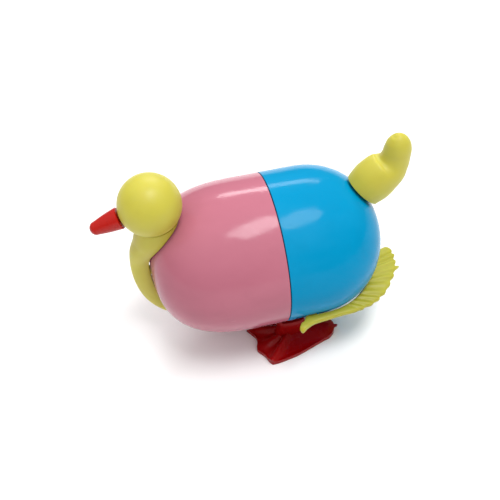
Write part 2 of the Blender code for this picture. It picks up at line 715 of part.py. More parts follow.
def winding_train():
    finish(y_rod("winding_arbor", ARBOR, -KNOB_REACH + 7.6, PLATE_Y[1] + 0.8, ARBOR_R, 20), "steel")
    teeth = 12
    outline = []
    for i in range(teeth):
        start = 2 * math.pi * i / teeth
        outline += [toward(ARBOR, start, 3.0), toward(ARBOR, start, 4.4)]
    ratchet = cut(plate("ratchet_wheel", outline, *CLICK_Y), y_rod("bore", ARBOR, -1, 3, ARBOR_R + 0.1, 20))
    finish(ratchet, "brass")
    finish(winding_knob(), "white_plastic")
    finish(mainspring(), "spring_steel")


def winding_knob():
    """A round boss with a flat thumb wing, pressed on the arbor's end."""
    x, z = ARBOR
    boss = y_rod("winding_knob", ARBOR, -BODY_R - 4.4, -BODY_R - 1.0, 4.0, 28)
    wing = plate("thumb", link_outline([(x - 3.4, z, 2.2), (x + 3.4, z, 2.2)], 20), -KNOB_REACH + 4.0,
                 -BODY_R - 3.0)
    blade = box("blade", (x - 5.0, -KNOB_REACH, z - 1.1), (x + 5.0, -BODY_R - 3.4, z + 1.1))
    bore = y_rod("bore", ARBOR, -KNOB_REACH + 7.3, -BODY_R, ARBOR_R + 0.1, 20)
    return cut(join(boss, wing, blade), bore)


def mainspring():
    """A spiral strip from the arbor out to the frame."""
    turns, inner_r, outer_r, half = 5.0, 2.3, 10.2, 0.16
    count = 84
    bm = bmesh.new()
    rings = []
    for i in range(count):
        t = i / (count - 1)
        angle = 2 * math.pi * turns * t
        radius = inner_r + (outer_r - inner_r) * t
        ring = [bm.verts.new(Vector((ARBOR[0] + (radius + dr) * math.cos(angle), y,
                                     ARBOR[1] + (radius + dr) * math.sin(angle))) * MM)
                for y, dr in ((-7.2, -half), (-7.2, half), (-3.6, half), (-3.6, -half))]
        rings.append(ring)
    for a, b in zip(rings, rings[1:]):
        for j in range(4):
            bm.faces.new((a[j], a[(j + 1) % 4], b[(j + 1) % 4], b[j]))
    bm.faces.new(rings[0])
    bm.faces.new(rings[-1][::-1])
    return from_bmesh("mainspring", bm)


def great_wheel():
    """The first wheel, with the click that lets the ratchet turn one way."""
    to_next = direction(ARBOR, INTERMEDIATE)
    wheel = gear("great_wheel", ARBOR, GREAT_TEETH, -2.6, -1.2, to_next, ARBOR_R + 0.3)
    finish(cut(wheel, y_rod("bore", CLICK, -4, 2, 0.75, 12)), "brass")
    post = join(y_rod("click_pivot", CLICK, -2.9, CLICK_Y[1] + 0.4, 0.6, 12),
                y_rod("rivet_head", CLICK, CLICK_Y[1] + 0.15, CLICK_Y[1] + 0.55, 1.1, 12))
    finish(post, "steel")
    pawl = plate("click", link_outline([(*CLICK, 1.5), (*CLICK_TIP, 0.35)], 16), *CLICK_Y)
    finish(cut(pawl, y_rod("bore", CLICK, -1, 3, 0.75, 12)), "steel")


def intermediate_train():
    to_great = direction(INTERMEDIATE, ARBOR)
    pinion = gear("intermediate_pinion", INTERMEDIATE, PINION_TEETH, -2.8, -1.0,
                  gap_phase(to_great, PINION_TEETH))
    shaft = y_rod("shaft", INTERMEDIATE, -PLATE_Y[1] - 0.2, PLATE_Y[1] + 0.2, 0.8, 16)
    finish(join(pinion, shaft), "steel")
    to_crank = direction(INTERMEDIATE, CRANK)
    finish(gear("intermediate_wheel", INTERMEDIATE, WHEEL_TEETH, 2.0, 3.0, to_crank, 0.95), "brass")


def crank_train():
    to_wheel = direction(CRANK, INTERMEDIATE)
    finish(y_rod("crank_shaft", CRANK, -10.2, 10.2, 1.0, 16), "steel")
    pinion_phase = gap_phase(to_wheel, PINION_TEETH)
    finish(gear("crank_pinion", CRANK, PINION_TEETH, 1.8, 3.3, pinion_phase, 1.15), "steel")
    finish(gear("crank_wheel", CRANK, CRANK_WHEEL_TEETH, 4.2, 5.2, GOVERNOR_LEAN, 1.15), "white_plastic")
    for name, side in (("left_crank", 1), ("right_crank", -1)):
        y_a, y_b = sorted((side * 9.5, side * 11.3))
        seat = sorted((side * 9.0, side * 10.4))
        disc = cut(y_rod(name, CRANK, y_a, y_b, 3.4, 24), y_rod("bore", CRANK, *seat, 1.15, 16))
        pin_at = (CRANK[0], CRANK[1] + side * CRANK_R)
        pin_y = sorted((side * 10.8, side * (LEG_Y[1] + 0.6)))
        disc = join(disc, y_rod("pin", pin_at, *pin_y, CRANK_PIN_R, 14))
        finish(disc, "white_plastic")


def governor():
    to_wheel = direction(GOVERNOR, CRANK)
    pinion = gear("governor_pinion", GOVERNOR, GOVERNOR_TEETH, 4.0, 5.6, gap_phase(to_wheel, GOVERNOR_TEETH))
    shaft = y_rod("shaft", GOVERNOR, -PLATE_Y[1] - 0.2, PLATE_Y[1] + 0.2, 0.7, 12)
    finish(join(pinion, shaft), "steel")
    x, z = GOVERNOR
    hub = y_rod("governor_fly", GOVERNOR, -4.0, 2.6, 1.5, 16)
    vane = box("vane", (x - 4.2, -3.6, z - 0.35), (x + 4.2, 2.2, z + 0.35))
    finish(cut(join(hub, vane), y_rod("bore", GOVERNOR, -5, 4, 0.85, 12)), "white_plastic")


def leg_rod():
    """The through rod that both levers rock on, with a cap pressed on each end."""
    reach = LEG_Y[1] + 1.6
    finish(y_rod("leg_pivot_rod", LEG_PIVOT, -reach, reach, LEG_ROD_R, 20), "steel")
    for side, sign in (("left", 1), ("right", -1)):
        y_a, y_b = sorted((sign * (LEG_Y[1] + 0.4), sign * (reach + 0.8)))
        bore = sorted((sign * LEG_Y[1], sign * (reach + 0.2)))
        cap = y_rod(side + "_rod_cap", LEG_PIVOT, y_a, y_b, 2.3, 20)
        finish(cut(cap, y_rod("bore", LEG_PIVOT, *bore, LEG_ROD_R + 0.05, 20)), "white_plastic")


# ---------------------------------------------------------------- assembly

def pivots():
    """The point on its joint's axis where each moving piece has its origin."""
    def on_axis(centre, y=0.0):
        return (centre[0], y, centre[1])

    table = {"head": HEAD, "beak": HEAD, "click": (CLICK[0], 0.7, CLICK[1])}
    for side, sign in (("left", 1), ("right", -1)):
        table[side + "_wing"] = (WING_PIVOT[0], sign * WING_PIVOT[1], WING_Z)
        table[side + "_leg"] = table[side + "_foot"] = on_axis(LEG_PIVOT, sign * LEG_Y[0])
        table[side + "_crank"] = on_axis(CRANK, sign * 9.5)
    for centre, names in ((ARBOR, ("winding_arbor", "winding_knob", "ratchet_wheel", "great_wheel",
                                   "click_pivot")),
                          (INTERMEDIATE, ("intermediate_pinion", "intermediate_wheel")),
                          (CRANK, ("crank_shaft", "crank_pinion", "crank_wheel")),
                          (GOVERNOR, ("governor_pinion", "governor_fly"))):
        for name in names:
            table[name] = on_axis(centre)
    return table


def place_origins():
    """Give each moving piece its origin on its axis, and move the duck over the world's origin."""
    corners = [v.co for obj in PARTS.objects for v in obj.data.vertices]
    low = Vector([min(c[i] for c in corners) for i in range(3)])
    high = Vector([max(c[i] for c in corners) for i in range(3)])
    shift = Vector((-(low.x + high.x) / 2, -(low.y + high.y) / 2, -low.z))
    table = pivots()
    for obj in PARTS.objects:
        pivot = Vector(table.get(obj.name, (0.0, 0.0, 0.0))) * MM
        obj.data.transform(Matrix.Translation(-pivot))
        obj.location = pivot + shift


def main():
    make_materials()
    front_shell()
    rear_shell()
    head()
    neck()
    beak()
    tail()
    wings()
    paired(foot, "red_plastic")
    paired(leg, "red_plastic")
    side_plates()
    pillars()
    winding_train()
    great_wheel()
    intermediate_train()
    crank_train()
    governor()
    leg_rod()
    place_origins()


main()
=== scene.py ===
"""Looks of the wind-up walking duck: its moulded plastic pieces, metal motor, light and camera.

Lengths are in millimetres, measured from the centre of the seam between the body's two halves: +X is the
duck's front, +Y its left side, +Z up, and z = 0 is the body's axis. place() turns such a point into the
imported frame's metres.
"""
import json
import math

import bmesh
import bpy
from mathutils import Matrix, Vector


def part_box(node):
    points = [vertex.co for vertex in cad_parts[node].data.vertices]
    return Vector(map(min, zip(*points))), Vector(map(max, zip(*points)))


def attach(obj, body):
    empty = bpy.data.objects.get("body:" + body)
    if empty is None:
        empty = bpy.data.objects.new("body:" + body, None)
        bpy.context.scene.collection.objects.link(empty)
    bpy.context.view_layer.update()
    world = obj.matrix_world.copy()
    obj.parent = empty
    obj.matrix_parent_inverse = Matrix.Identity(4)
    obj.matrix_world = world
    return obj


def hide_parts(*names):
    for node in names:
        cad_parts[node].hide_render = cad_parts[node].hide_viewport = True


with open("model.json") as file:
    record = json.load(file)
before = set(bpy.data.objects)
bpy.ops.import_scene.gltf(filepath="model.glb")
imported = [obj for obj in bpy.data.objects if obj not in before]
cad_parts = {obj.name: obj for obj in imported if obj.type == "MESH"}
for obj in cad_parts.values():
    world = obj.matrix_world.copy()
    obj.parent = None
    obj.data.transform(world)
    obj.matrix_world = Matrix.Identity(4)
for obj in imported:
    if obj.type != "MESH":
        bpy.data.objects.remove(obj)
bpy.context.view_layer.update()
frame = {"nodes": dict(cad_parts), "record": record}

MM = 0.001
SEAM_GAP = 0.3
CLEAR = 0.3                               # gap between neighbouring pieces
BODY_CLEAR = 0.35                         # gap between the body and what is cut to fit round it
PEG_FIT = 0.15                            # how much larger a hole's radius is than its peg's
CREASE = math.radians(35)                 # edges sharper than this are shaded as edges

SHELL_LOW, SHELL_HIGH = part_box("front_shell")
BODY_R = (SHELL_HIGH.z - SHELL_LOW.z) / 2 / MM
ORIGIN = Vector((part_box("rear_shell")[1].x + SEAM_GAP / 2 * MM, (SHELL_LOW.y + SHELL_HIGH.y) / 2,
                 (SHELL_LOW.z + SHELL_HIGH.z) / 2))
FLOOR_Z = -ORIGIN.z / MM


def place(point):
    return ORIGIN + Vector(point) * MM


def local(point):
    """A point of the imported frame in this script's millimetres."""
    return (point - ORIGIN) / MM


def centre_of(node):
    low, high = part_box(node)
    return local((low + high) / 2)


def pivot(joint):
    """Where a joint of the record turns."""
    joints = frame["record"]["behaviour"]["joints"]
    return next(local(Vector(j["pos_m"])) for j in joints if j["name"] == joint)


# ---------------------------------------------------------------- mesh helpers

def mesh_object(name, bm):
    """A linked mesh object whose faces all point out."""
    bmesh.ops.recalc_face_normals(bm, faces=bm.faces)
    if bm.calc_volume(signed=True) < 0:
        bmesh.ops.reverse_faces(bm, faces=bm.faces)
    mesh = bpy.data.meshes.new(name)
    bm.to_mesh(mesh)
    bm.free()
    obj = bpy.data.objects.new(name, mesh)
    bpy.context.scene.collection.objects.link(obj)
    return obj


def loft(name, rings):
    """A closed skin over rings that have the same number of points each."""
    bm = bmesh.new()
    loops = [[bm.verts.new(place(p)) for p in ring] for ring in rings]
    for a, b in zip(loops, loops[1:]):
        for j in range(len(a)):
            k = (j + 1) % len(a)
            bm.faces.new((a[j], a[k], b[k], b[j]))
    bm.faces.new(loops[0])
    bm.faces.new(loops[-1])
    return mesh_object(name, bm)


def turned(name, profile, start, axis, segments):
    """A solid of revolution: profile holds (radius, distance along the axis), from pole to pole."""
    axis = Vector(axis).normalized()
    side = axis.orthogonal().normalized()
    other = axis.cross(side)
    bm = bmesh.new()
    loops = []
    for radius, along in profile:
        centre = Vector(start) + axis * along
        if radius < 1e-6:
            loops.append([bm.verts.new(place(centre))])
            continue
        loops.append([bm.verts.new(place(centre + (side * math.cos(a) + other * math.sin(a)) * radius))
                      for a in (2 * math.pi * i / segments for i in range(segments))])
    for a, b in zip(loops, loops[1:]):
        for j in range(segments):
            k = (j + 1) % segments
            corners = [a[j % len(a)], a[k % len(a)], b[k % len(b)], b[j % len(b)]]
            bm.faces.new(list(dict.fromkeys(corners)))
    return mesh_object(name, bm)


def rod(name, start, end, radius):
    start, end = Vector(start), Vector(end)
    length = (end - start).length
    return turned(name, [(0, 0), (radius, 0), (radius, length), (0, length)], start, end - start, 48)


def block(name, low, high):
    bm = bmesh.new()
    bmesh.ops.create_cube(bm, size=1.0)
    low, high = place(low), place(high)
    bm.transform(Matrix.Translation((low + high) / 2) @ Matrix.Diagonal((*(high - low), 1.0)))
    return mesh_object(name, bm)


def prism(name, outline, z_low, z_high):
    """An outline of (x, y) points made into an upright solid."""
    return loft(name, [[(x, y, z) for x, y in outline] for z in (z_low, z_high)])


def settle(obj):
    """Replace an object's mesh by its evaluated one, with no modifier left."""
    bpy.context.view_layer.update()
    mesh = bpy.data.meshes.new_from_object(obj.evaluated_get(bpy.context.evaluated_depsgraph_get()))
    obj.modifiers.clear()
    obj.data = mesh
    return obj


def combine(obj, other, operation):
    boolean = obj.modifiers.new("boolean", "BOOLEAN")
    boolean.operation = operation
    boolean.solver = "EXACT"
    boolean.object = other
    settle(obj)
    bpy.data.objects.remove(other, do_unlink=True)
    return obj


def cut(obj, *cutters):
    for cutter in cutters:
        combine(obj, cutter, "DIFFERENCE")
    return obj


def join(obj, *others):
    for other in others:
        combine(obj, other, "UNION")
    return obj


def ease(value, low, high):
    """0 below low, 1 above high, and a smooth step in between."""
    t = min(1.0, max(0.0, (value - low) / (high - low)))
    return t * t * (3 - 2 * t)


def smooth_path(keys, count):
    """Points spread evenly in parameter along a Catmull-Rom curve through the keys."""
    padded = [keys[0], *keys, keys[-1]]
    path = []
    for i in range(count):
        s = i / (count - 1) * (len(keys) - 1)
        k = min(int(s), len(keys) - 2)
        t = s - k
        path.append(tuple(0.5 * (2 * b + (c - a) * t + (2 * a - 5 * b + 4 * c - d) * t * t
                                 + (3 * b - a - 3 * c + d) * t ** 3)
                          for a, b, c, d in zip(*padded[k:k + 4])))
    return path


def sweep(name, path, width=1.0):
    """A round bar in the middle plane along (x, z, radius) points; width scales it across that plane."""
    segments = 64
    rings = []
    for i, (x, z, radius) in enumerate(path):
        ahead, back = path[min(i + 1, len(path) - 1)], path[max(i - 1, 0)]
        run = Vector((ahead[0] - back[0], ahead[1] - back[1])).normalized()
        rings.append([(x - run.y * radius * math.cos(a), radius * width * math.sin(a),
                       z + run.x * radius * math.cos(a))
                      for a in (2 * math.pi * j / segments for j in range(segments))])
    return loft(name, rings)


def mirrored(obj, name):
    """The same piece on the duck's right side."""
    mesh = obj.data.copy()
    mesh.transform(Matrix.Translation((0, ORIGIN.y, 0)) @ Matrix.Diagonal((1, -1, 1, 1))
                   @ Matrix.Translation((0, -ORIGIN.y, 0)))
    mesh.flip_normals()
    copy = bpy.data.objects.new(name, mesh)
    bpy.context.scene.collection.objects.link(copy)
    return copy


def dress(obj, body, nodes, mat):
    """Shade a finished piece, put it on its body and in place of its CAD nodes."""
    obj.data.materials.clear()
    obj.data.materials.append(mat)
    obj.data.shade_smooth()
    obj.data.set_sharp_from_angle(angle=CREASE)
    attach(obj, body)
    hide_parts(*nodes)
    return obj


# ---------------------------------------------------------------- materials

def new_material(name):
    mat = bpy.data.materials.new(name)
    mat.use_nodes = True
    return mat, mat.node_tree, mat.node_tree.nodes["Principled BSDF"]


def noise_node(tree, scale, detail, stretch=(1, 1, 1), roughness=0.5):
    """Noise over the piece's own coordinates, in lumps per metre."""
    coords = tree.nodes.new("ShaderNodeTexCoord")
    mapping = tree.nodes.new("ShaderNodeMapping")
    mapping.inputs["Scale"].default_value = stretch
    texture = tree.nodes.new("ShaderNodeTexNoise")
    texture.inputs["Scale"].default_value = scale
    texture.inputs["Detail"].default_value = detail
    texture.inputs["Roughness"].default_value = roughness
    tree.links.new(coords.outputs["Object"], mapping.inputs["Vector"])
    tree.links.new(mapping.outputs["Vector"], texture.inputs["Vector"])
    return texture.outputs["Fac"]


def ramp(tree, value, stops):
    """A colour ramp with (position, grey or colour) stops."""
    node = tree.nodes.new("ShaderNodeValToRGB")
    while len(node.color_ramp.elements) < len(stops):
        node.color_ramp.elements.new(0.5)
    for element, (position, color) in zip(node.color_ramp.elements, stops):
        element.position = position
        element.color = (*color, 1) if isinstance(color, tuple) else (color, color, color, 1)
    tree.links.new(value, node.inputs["Fac"])
    return node.outputs["Color"]


def mix(tree, factor, a, b):
    node = tree.nodes.new("ShaderNodeMix")
    node.data_type = "RGBA"
    for socket, value in ((node.inputs["Factor"], factor), (node.inputs["A"], a), (node.inputs["B"], b)):
        if isinstance(value, bpy.types.NodeSocket):
            tree.links.new(value, socket)
        elif isinstance(value, tuple):
            socket.default_value = (*value, 1)
        else:
            socket.default_value = value
    return node.outputs["Result"]


def bump(tree, height, distance, strength, normal=None):
    node = tree.nodes.new("ShaderNodeBump")
    node.inputs["Distance"].default_value = distance * MM
    node.inputs["Strength"].default_value = strength
    tree.links.new(height, node.inputs["Height"])
    if normal is not None:
        tree.links.new(normal, node.inputs["Normal"])
    return node.outputs["Normal"]


def plastic(name, color, roughness, ior=1.49, subsurface=0.0, waviness=0.05):
    """Moulded plastic: faint flow marks, dirt, uneven gloss, mould texture and hairline scratches."""
    mat, tree, shader = new_material(name)
    dark = tuple(c * 0.94 for c in color)
    light = tuple(min(1.0, c * 1.03 + 0.004) for c in color)
    flow = ramp(tree, noise_node(tree, 38, 3, (1, 1.6, 1.6)), [(0.32, dark), (0.5, color), (0.7, light)])
    dirt = ramp(tree, noise_node(tree, 150, 6), [(0.56, 0.0), (0.78, 0.22)])
    soiled = tuple(c * 0.8 for c in color)
    tree.links.new(mix(tree, dirt, flow, soiled), shader.inputs["Base Color"])
    low, high = max(0.02, roughness - 0.04), roughness + 0.08
    gloss = ramp(tree, noise_node(tree, 300, 5), [(0.3, low), (0.5, roughness), (0.75, high)])
    streaks = noise_node(tree, 420, 2, (0.08, 1.0, 2.0), 0.4)
    hairlines = ramp(tree, streaks, [(0.66, 0.0), (0.70, 0.3)])
    tree.links.new(mix(tree, hairlines, gloss, (0.5, 0.5, 0.5)), shader.inputs["Roughness"])
    wave = bump(tree, noise_node(tree, 70, 2), waviness, 0.6)
    scored = bump(tree, hairlines, -0.01, 0.4, wave)
    tree.links.new(bump(tree, noise_node(tree, 2600, 3), 0.005, 0.3, scored), shader.inputs["Normal"])
    shader.inputs["IOR"].default_value = ior
    if subsurface:
        shader.inputs["Subsurface Weight"].default_value = subsurface
        shader.inputs["Subsurface Radius"].default_value = (1.0, 0.7, 0.2)
        shader.inputs["Subsurface Scale"].default_value = 2.2 * MM
    return mat


def metal(name, color, roughness, brushed=(1, 1, 1)):
    """Stamped or turned metal: drawn grain, tarnish patches and small scratches."""
    mat, tree, shader = new_material(name)
    dull = tuple(c * 0.62 for c in color)
    patches = ramp(tree, noise_node(tree, 320, 5), [(0.38, dull), (0.55, color)])
    tree.links.new(patches, shader.inputs["Base Color"])
    grain = noise_node(tree, 900, 4, brushed)
    polish = ramp(tree, grain, [(0.3, roughness * 0.7), (0.7, roughness * 1.5)])
    tree.links.new(polish, shader.inputs["Roughness"])
    tree.links.new(bump(tree, grain, 0.02, 0.5), shader.inputs["Normal"])
    shader.inputs["Metallic"].default_value = 1.0
    return mat


PINK = plastic("pink_shell_plastic", (0.46, 0.146, 0.20), 0.13, 1.27, waviness=0.16)
BLUE = plastic("blue_shell_plastic", (0.0003, 0.258, 0.488), 0.13, 1.15, waviness=0.16)
YELLOW = plastic("soft_yellow_plastic", (0.555, 0.50, 0.062), 0.42, 1.4, subsurface=0.4, waviness=0.09)
WING_YELLOW = plastic("wing_yellow_plastic", (0.41, 0.385, 0.034), 0.40, 1.36, subsurface=0.25, waviness=0.09)
RED = plastic("beak_red_plastic", (0.455, 0.010, 0.006), 0.28, 1.32)
FOOT_RED = plastic("foot_red_plastic", (0.27, 0.001, 0.0015), 0.25, 1.22, waviness=0.12)
WHITE = plastic("white_plastic", (0.60, 0.585, 0.55), 0.38)
STEEL = metal("stamped_steel", (0.58, 0.58, 0.60), 0.32, (0.2, 1, 1))
BLUED = metal("blued_spring_steel", (0.16, 0.19, 0.27), 0.30, (1, 0.2, 1))
BRASS = metal("stamped_brass", (0.76, 0.56, 0.24), 0.30)


# ---------------------------------------------------------------- body shells

FRONT = (8.8, 32.6, 2.62)                # straight length, cap length and power of the cap's curve
REAR = (11.6, 26.1, 2.12)
WALL = 1.6
LIP_LENGTH, LIP_WALL, LIP_BEVEL = 3.2, 1.3, 0.3
SEAM_ROUND = 0.15
ARBOR_HOLE_R = 2.2
SHELL_PEGS = {1.0: 43.0, -13.0: 41.6}     # height of each neck peg and how far forward it reaches
SHELL_PEG_R = 1.6
LEG = centre_of("leg_pivot_rod")
KNOB_AXIS = centre_of("winding_arbor")


def body_radius(x):
    """Radius of the body's outer skin at a place along it."""
    straight, cap, power = FRONT if x > 0 else REAR
    t = max(0.0, abs(x) - straight) / cap
    return BODY_R * max(0.0, 1.0 - t ** power) ** (1.0 / power)


def cap_profile(form, offset, rings):
    """(radius, distance from the seam) from the pole to the end of the straight part."""
    straight, cap, power = form
    points = [(0.0, straight + cap - offset)]
    for i in range(1, rings + 1):
        angle = math.pi / 2 * i / rings
        points.append(((BODY_R - offset) * math.sin(angle) ** (2 / power),
                       straight + (cap - offset) * max(0.0, math.cos(angle)) ** (2 / power)))
    return points


def shell_profile(form, with_lip):
    """A body half: outer skin, softened rim at the seam, an inner lip on one half, inner skin."""
    rim = SEAM_GAP / 2
    profile = cap_profile(form, 0.0, 56)
    for i in range(7):
        a = math.pi / 2 * i / 6
        profile.append((BODY_R - SEAM_ROUND * (1 - math.cos(a)), rim + SEAM_ROUND * (1 - math.sin(a))))
    if with_lip:
        lip = BODY_R - WALL - CLEAR
        profile += [(lip, rim), (lip, LIP_BEVEL - LIP_LENGTH), (lip - LIP_BEVEL, -LIP_LENGTH),
                    (lip - LIP_WALL, -LIP_LENGTH), (lip - LIP_WALL, rim + 2.0), (BODY_R - WALL, rim + 3.4)]
    else:
        profile.append((BODY_R - WALL, rim))
    return profile + cap_profile(form, WALL, 28)[::-1]


def body_end(form, way):
    """One end of the body with a clearance all round, to cut what lies against it."""
    start = 1.0                           # from the seam
    profile = [(r + BODY_CLEAR if r > 0 else 0.0, h + BODY_CLEAR) for r, h in cap_profile(form, 0.0, 48)]
    return turned("body_end", profile + [(BODY_R + BODY_CLEAR, start), (0.0, start)], (0, 0, 0), way, 128)


def leg_slots():
    """Openings under the body for the two leg levers."""
    along, across, top = 5.6, 2.2, -15    # half length, half width and upper end
    slots = []
    for node in ("left_leg", "right_leg"):
        y = centre_of(node).y
        low = (LEG.x - along, y - across, -BODY_R - 1)
        slots.append(block("slot", low, (LEG.x + along, y + across, top)))
    return slots


def front_shell():
    obj = turned("pink_shell", shell_profile(FRONT, True), (0, 0, 0), (1, 0, 0), 160)
    x, z = KNOB_AXIS.x, KNOB_AXIS.z
    holes = [rod("hole", (x, -BODY_R - 2, z), (x, -BODY_R + 8, z), ARBOR_HOLE_R)]
    holes += [rod("hole", (30, 0, z), (44, 0, z), SHELL_PEG_R + PEG_FIT) for z in SHELL_PEGS]
    cut(obj, *holes, *leg_slots())
    dress(obj, "body", ["front_shell"], PINK)


WING = pivot("left_wing_swing")
WING_THICK = 2.2
WING_LOW, WING_HIGH = WING.z - WING_THICK / 2, WING.z + WING_THICK / 2
WING_PIN_R = 0.8
SHELF_THICK = 1.6


def wing_slot(side):
    """The opening in the rear shell's side that a wing's arm comes through."""
    behind, ahead = 2.6, 5.6              # how far it reaches from the pin
    y_a, y_b = sorted((side * (WING.y - 3.0), side * (BODY_R + 2.0)))
    return block("slot", (WING.x - behind, y_a, WING_LOW - CLEAR), (WING.x + ahead, y_b, WING_HIGH + CLEAR))


def wing_mount(side):
    """A shelf inside the rear shell with the upright pin that a wing swings on."""
    top = WING_LOW - CLEAR
    y_a, y_b = sorted((side * (WING.y - 2.2), side * (WING.y + 1.4)))
    shelf = block("shelf", (WING.x - 2.5, y_a, top - SHELF_THICK), (WING.x + 2.5, y_b, top))
    x, y = WING.x, side * WING.y
    pin = rod("pin", (x, y, top - SHELF_THICK / 2), (x, y, WING_HIGH - 0.4), WING_PIN_R)
    return join(shelf, pin)


def rear_shell():
    obj = turned("blue_shell", shell_profile(REAR, False), (0, 0, 0), (-1, 0, 0), 160)
    hole = rod("hole", tail_point(-8), tail_point(6), TAIL_PEG_R + PEG_FIT)
    cut(obj, hole, *leg_slots(), wing_slot(1), wing_slot(-1))
    join(obj, wing_mount(1), wing_mount(-1))
    dress(obj, "body", ["rear_shell"], BLUE)


# ---------------------------------------------------------------- head, beak, neck, tail

HEAD_LOW, HEAD_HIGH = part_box("head")
HEAD_R = (HEAD_HIGH.x - HEAD_LOW.x) / 2 / MM - 0.03     # so that its facets stay inside the CAD box
HEAD = pivot("head_turn")
HEAD_TILT = math.radians(7)
BEAK_PITCH = math.radians(17)
BEAK_LENGTH, BEAK_BASE_R, BEAK_TIP_R, BEAK_PEG_R = 10.0, 3.5, 2.15, 1.6
NECK_PEG_R, NECK_PEG_LENGTH = 2.6, 9.0
SEAT_R = 6.4                              # radius of the flat under the head where the neck meets it
HEAD_SEAT = math.sqrt(HEAD_R ** 2 - SEAT_R ** 2)
UP_NECK = Vector((math.sin(HEAD_TILT), 0, math.cos(HEAD_TILT)))
BEAK_WAY = Vector((math.cos(BEAK_PITCH), 0, -math.sin(BEAK_PITCH)))


def head():
    """A ball with a flat seat under it, a deep socket for the neck's peg and a shallow one for the beak's."""
    steps = 56
    seat_angle = math.pi - math.asin(SEAT_R / HEAD_R)
    ball = [(0.0, HEAD_R)]
    for i in range(1, steps + 1):
        a = seat_angle * i / steps
        ball.append((HEAD_R * math.sin(a), HEAD_R * math.cos(a)))
    socket = NECK_PEG_R + PEG_FIT
    deep = NECK_PEG_LENGTH + CLEAR - HEAD_SEAT
    ball += [(socket, -HEAD_SEAT), (socket, deep), (0.0, deep)]
    obj = turned("head_ball", ball, HEAD, UP_NECK, 128)
    inside, outside = HEAD + BEAK_WAY * (HEAD_R - 4.0), HEAD + BEAK_WAY * (HEAD_R + 4)
    cut(obj, rod("socket", inside, outside, BEAK_PEG_R + PEG_FIT))
    dress(obj, "head", ["head"], YELLOW)


def beak():
    """A blunt cone with softened rims and a peg that is pressed into the head."""
    base, peg_end, chamfer = HEAD_R + 0.1, HEAD_R - 3.7, 0.25
    dome = BEAK_TIP_R * 0.9               # length of the rounded tip
    start, tip = base + chamfer, base + BEAK_LENGTH - dome
    profile = [(0.0, peg_end), (BEAK_PEG_R, peg_end), (BEAK_PEG_R, base), (BEAK_BASE_R - chamfer, base)]
    for i in range(17):
        t = i / 16
        swell = 0.12 * math.sin(math.pi * t)
        profile.append((BEAK_BASE_R + (BEAK_TIP_R - BEAK_BASE_R) * t + swell, start + (tip - start) * t))
    for i in range(1, 12):
        a = math.pi / 2 * i / 12
        profile.append((BEAK_TIP_R * math.cos(a), tip + dome * math.sin(a)))
    profile.append((0.0, base + BEAK_LENGTH))
    dress(turned("beak_cone", profile, HEAD, BEAK_WAY, 72), "head", ["beak"], RED)


def neck():
    """An arched stalk in front of the body: wide under the head, thin at its lower end."""
    keys = [(35.2, 25.0, 6.2), (36.1, 20.9, 6.5), (37.5, 17.2, 6.5), (39.3, 13.6, 6.1),
            (41.8, 10.0, 5.1), (43.25, 5.7, 4.25), (43.75, 1.0, 3.95), (43.55, -4.9, 3.75),
            (42.8, -10.6, 3.3), (41.2, -15.7, 2.8), (39.3, -20.7, 1.6), (37.9, -22.8, 0.8)]
    narrow, wide_from, wide_to = 0.55, 4.0, 18.0          # width of the stalk, and where it flares
    obj = sweep("neck_stem", smooth_path(keys, 90))
    for vertex in obj.data.vertices:
        x, y, z = local(vertex.co)
        vertex.co = place((x, y * (narrow + (1 - narrow) * ease(z, wide_from, wide_to)), z))
    top = HEAD - UP_NECK * (HEAD_SEAT + CLEAR)
    cut(obj, rod("above", top, top + UP_NECK * 9, 14), body_end(FRONT, (1, 0, 0)))
    low, high = HEAD - UP_NECK * (HEAD_SEAT + 1.0), HEAD + UP_NECK * (NECK_PEG_LENGTH - HEAD_SEAT)
    shell_pegs = [rod("peg", (33, 0, z), (reach, 0, z), SHELL_PEG_R) for z, reach in SHELL_PEGS.items()]
    join(obj, rod("peg", low, high, NECK_PEG_R), *shell_pegs)
    dress(obj, "body", ["neck"], YELLOW)


TAIL_SEAT, TAIL_LEAN = (-31.0, 18.2), math.radians(47)
TAIL_WALL, TAIL_WIDTH, TAIL_PEG_R = 1.3, 0.92, 2.2


def tail_point(distance):
    return (TAIL_SEAT[0] - distance * math.cos(TAIL_LEAN), 0.0, TAIL_SEAT[1] + distance * math.sin(TAIL_LEAN))


def tail():
    """A curled plume, hollow where it sits over the shell, with a peg into the shell."""
    keys = [(-31.4, 18.7, 6.7), (-34.1, 21.5, 7.4), (-36.8, 24.2, 7.2), (-39.3, 26.3, 6.4),
            (-40.7, 28.6, 5.2), (-41.3, 31.4, 4.6), (-41.4, 34.0, 4.35), (-41.0, 36.6, 3.45),
            (-40.6, 38.3, 1.85), (-40.4, 38.8, 0.5)]
    obj = sweep("tail_plume", smooth_path(keys, 72), TAIL_WIDTH)
    x, z, r = keys[0]
    hollow = [(x + 3.4, z - 3.6, r - TAIL_WALL)] + [(x, z, r - TAIL_WALL) for x, z, r in keys[:4]]
    cut(obj, sweep("hollow", smooth_path(hollow, 36), TAIL_WIDTH))
    join(obj, rod("peg", tail_point(-3.4), tail_point(13.5), TAIL_PEG_R))
    dress(obj, "body", ["tail"], YELLOW)


# ---------------------------------------------------------------- wings and feet

def body_line(x):
    """A little less than the half width of the rear shell at the level of the wing's underside."""
    return max(1.2, math.sqrt(max(0.0, body_radius(x) ** 2 - WING_LOW ** 2)) - 0.9)


